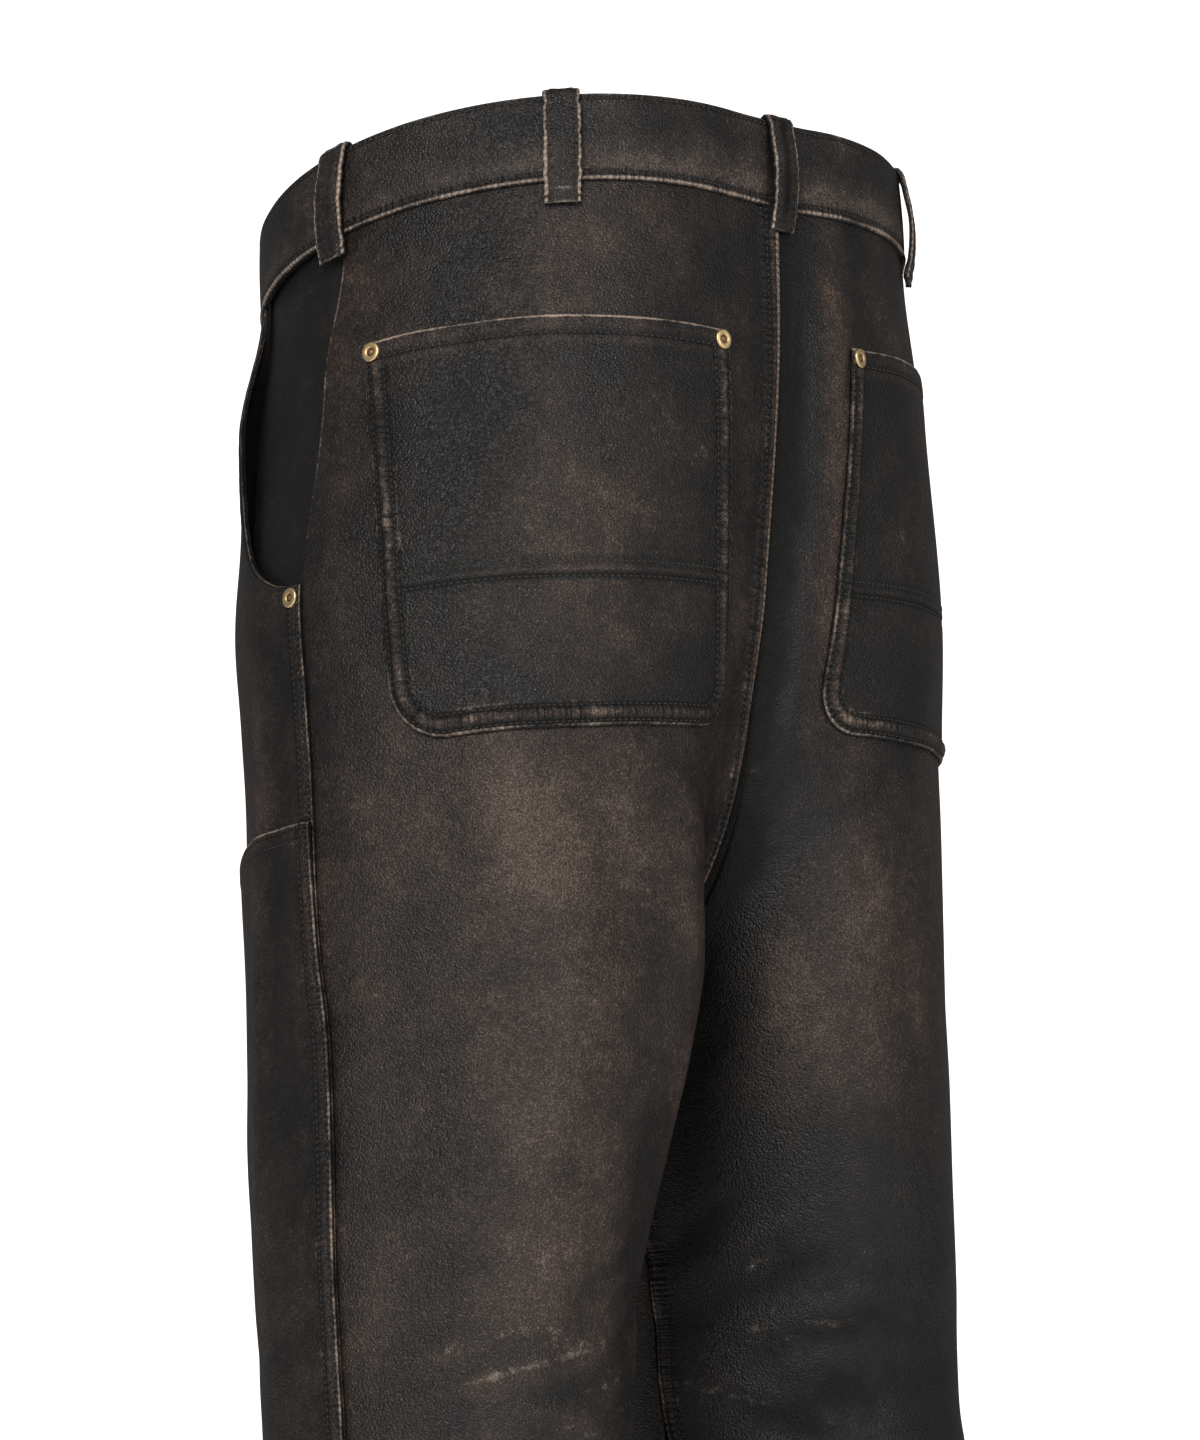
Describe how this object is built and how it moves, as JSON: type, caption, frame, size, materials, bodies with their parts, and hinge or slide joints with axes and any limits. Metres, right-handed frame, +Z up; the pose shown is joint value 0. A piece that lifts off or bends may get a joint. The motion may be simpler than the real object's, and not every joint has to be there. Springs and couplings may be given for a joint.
{
  "type": "leather trousers",
  "caption": "Straight-leg leather work trousers, hollow and filled out as when worn, with waistband, belt loops, patch pockets and knee panels.",
  "frame": {"origin": "middle of the waist opening, level with the mean height of the waistband's top edge", "axes": "+Z up, -Y out of the front, +X towards the wearer's left"},
  "size_m": [0.3896, 0.2705, 1.0871],
  "materials": {
    "worn_leather": "pebbled leather, charcoal black rubbed through to taupe brown",
    "band_leather": "pebbled leather, charcoal black with worn pale edges",
    "brass": "aged brass, satin",
    "zip_tape": "black woven tape"
  },
  "bodies": {
    "root": {"back_left": "worn_leather", "back_right": "worn_leather", "front_left": "worn_leather", "front_right": "worn_leather", "pocket_facing_left": "worn_leather", "pocket_facing_right": "worn_leather", "back_pocket_left": "worn_leather", "back_pocket_right": "worn_leather", "knee_panel_left": "worn_leather", "knee_panel_right": "worn_leather", "fly_shield": "worn_leather", "waistband": "band_leather", "belt_loop_back": "band_leather", "belt_loop_back_left": "band_leather", "belt_loop_back_right": "band_leather", "belt_loop_side_left": "band_leather", "belt_loop_side_right": "band_leather", "belt_loop_front_left": "band_leather", "belt_loop_front_right": "band_leather", "rivet_mouth_left": "brass", "rivet_mouth_right": "brass", "rivet_pocket_left_inner": "brass", "rivet_pocket_left_outer": "brass", "rivet_pocket_right_inner": "brass", "rivet_pocket_right_outer": "brass", "waist_button": "brass", "zip_slider": "brass", "zip_tape": "zip_tape"}
  },
  "joints": []
}
